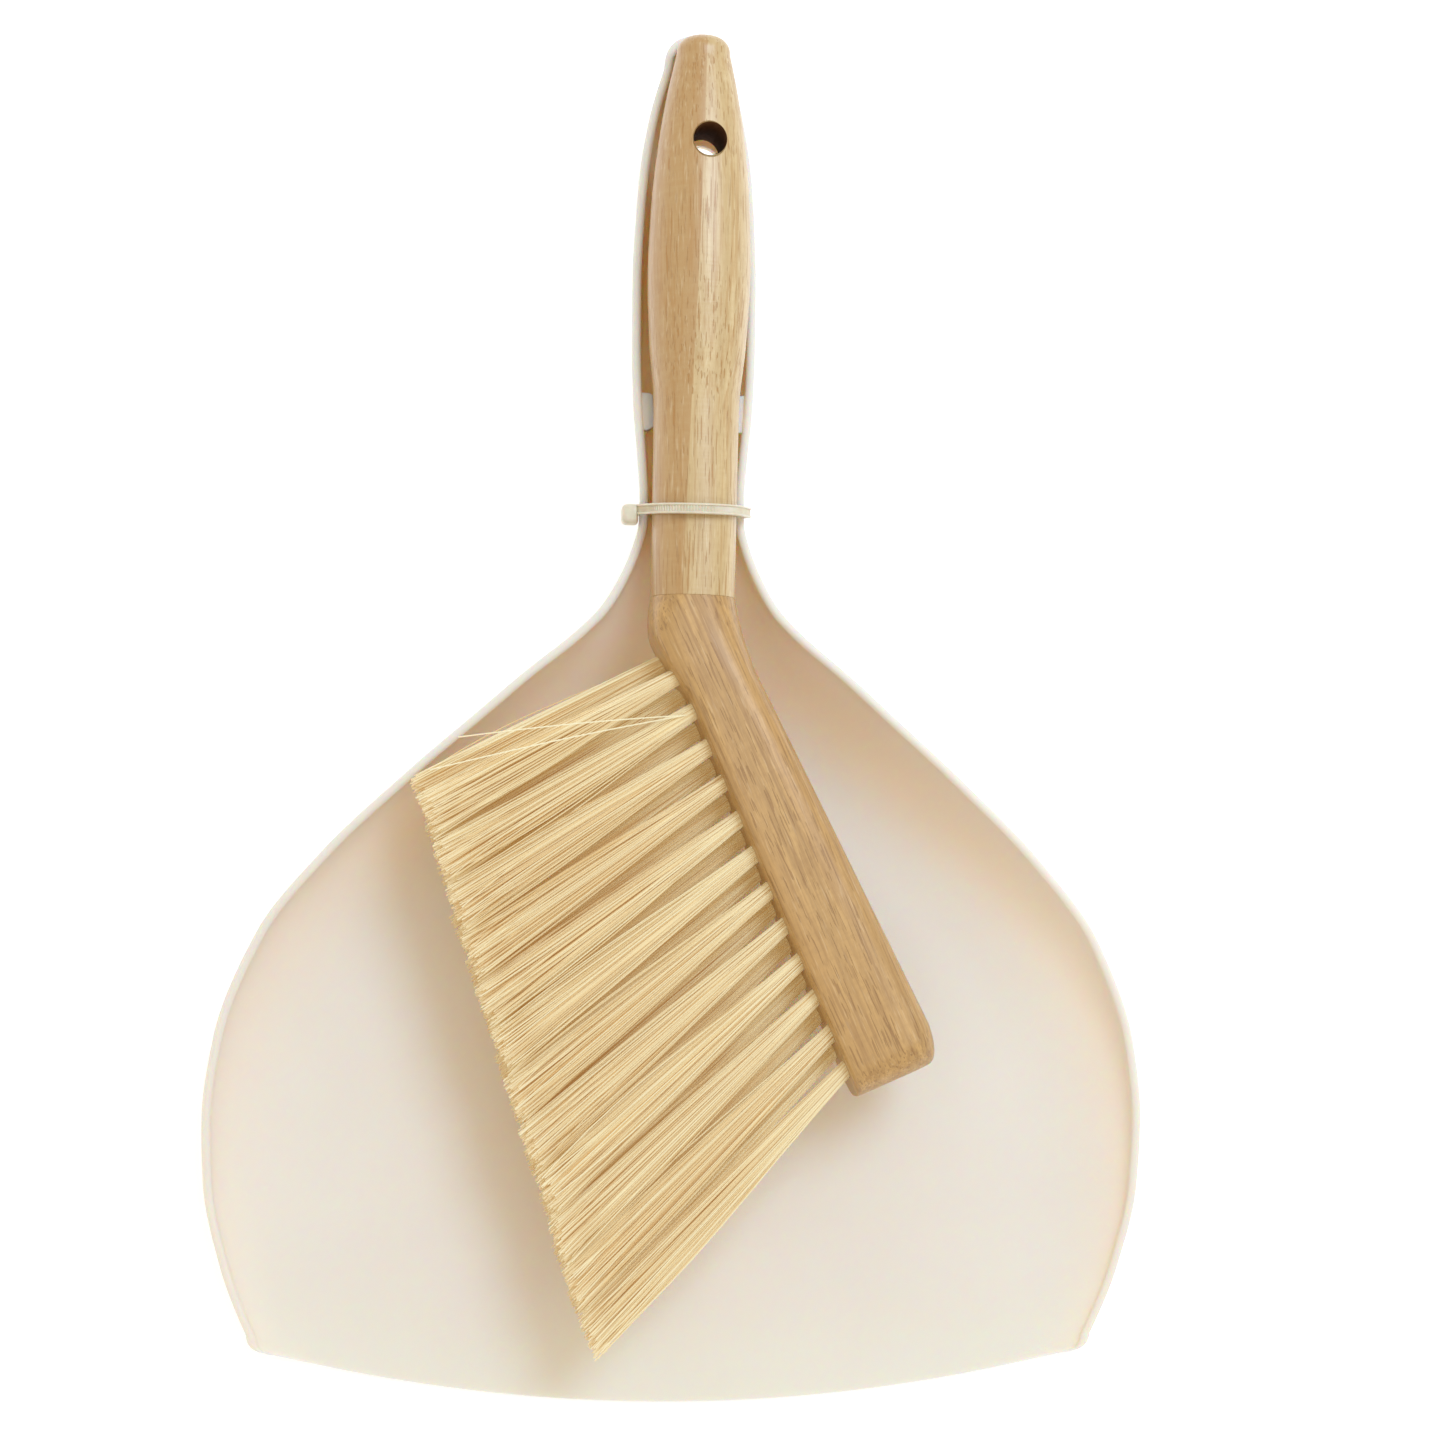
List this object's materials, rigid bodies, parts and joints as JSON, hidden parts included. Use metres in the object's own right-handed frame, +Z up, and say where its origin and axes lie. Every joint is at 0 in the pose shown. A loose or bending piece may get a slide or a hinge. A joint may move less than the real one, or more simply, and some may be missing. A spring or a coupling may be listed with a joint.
{
  "type": "dust pan and brush set",
  "caption": "Petal-shaped plastic dust pan with a channel handle that holds a wooden hand brush of cream bristle tufts, held by a cable tie.",
  "frame": {"origin": "on the surface that the pan lies on, under the middle of the set's length and width", "axes": "+X to the pan's right, +Y from the front lip to the tip of the handle, +Z up, out of the pan's mouth"},
  "size_m": [0.2304, 0.334, 0.0485],
  "materials": {
    "pan_plastic": "satin cream white polypropylene",
    "handle_wood": "satin clear lacquer on pale laminated rubberwood",
    "head_wood": "satin clear lacquer on warm rubberwood",
    "bristle": "cream synthetic filament",
    "tie_nylon": "natural translucent nylon",
    "anchor_wire": "plain wire"
  },
  "bodies": {
    "root": {"dustpan": "pan_plastic", "cable_tie": "tie_nylon"},
    "brush": {"brush_handle": "handle_wood", "brush_head": "head_wood", "handle_dowel": "head_wood", "tuft_front_01": "bristle", "tuft_front_02": "bristle", "tuft_front_03": "bristle", "tuft_front_04": "bristle", "tuft_front_05": "bristle", "tuft_front_06": "bristle", "tuft_front_07": "bristle", "tuft_front_08": "bristle", "tuft_front_09": "bristle", "tuft_front_10": "bristle", "tuft_front_11": "bristle", "tuft_front_12": "bristle", "tuft_back_01": "bristle", "tuft_back_02": "bristle", "tuft_back_03": "bristle", "tuft_back_04": "bristle", "tuft_back_05": "bristle", "tuft_back_06": "bristle", "tuft_back_07": "bristle", "tuft_back_08": "bristle", "tuft_back_09": "bristle", "tuft_back_10": "bristle", "tuft_back_11": "bristle", "tuft_back_12": "bristle", "anchor_front_01": "anchor_wire", "anchor_front_02": "anchor_wire", "anchor_front_03": "anchor_wire", "anchor_front_04": "anchor_wire", "anchor_front_05": "anchor_wire", "anchor_front_06": "anchor_wire", "anchor_front_07": "anchor_wire", "anchor_front_08": "anchor_wire", "anchor_front_09": "anchor_wire", "anchor_front_10": "anchor_wire", "anchor_front_11": "anchor_wire", "anchor_front_12": "anchor_wire", "anchor_back_01": "anchor_wire", "anchor_back_02": "anchor_wire", "anchor_back_03": "anchor_wire", "anchor_back_04": "anchor_wire", "anchor_back_05": "anchor_wire", "anchor_back_06": "anchor_wire", "anchor_back_07": "anchor_wire", "anchor_back_08": "anchor_wire", "anchor_back_09": "anchor_wire", "anchor_back_10": "anchor_wire", "anchor_back_11": "anchor_wire", "anchor_back_12": "anchor_wire"}
  },
  "joints": [
    {"name": "brush_lift", "type": "slide", "parent": "root", "child": "brush", "axis": [0, 0, 1], "range_m": [0, 0.12], "deforming": ["cable_tie"]}
  ]
}
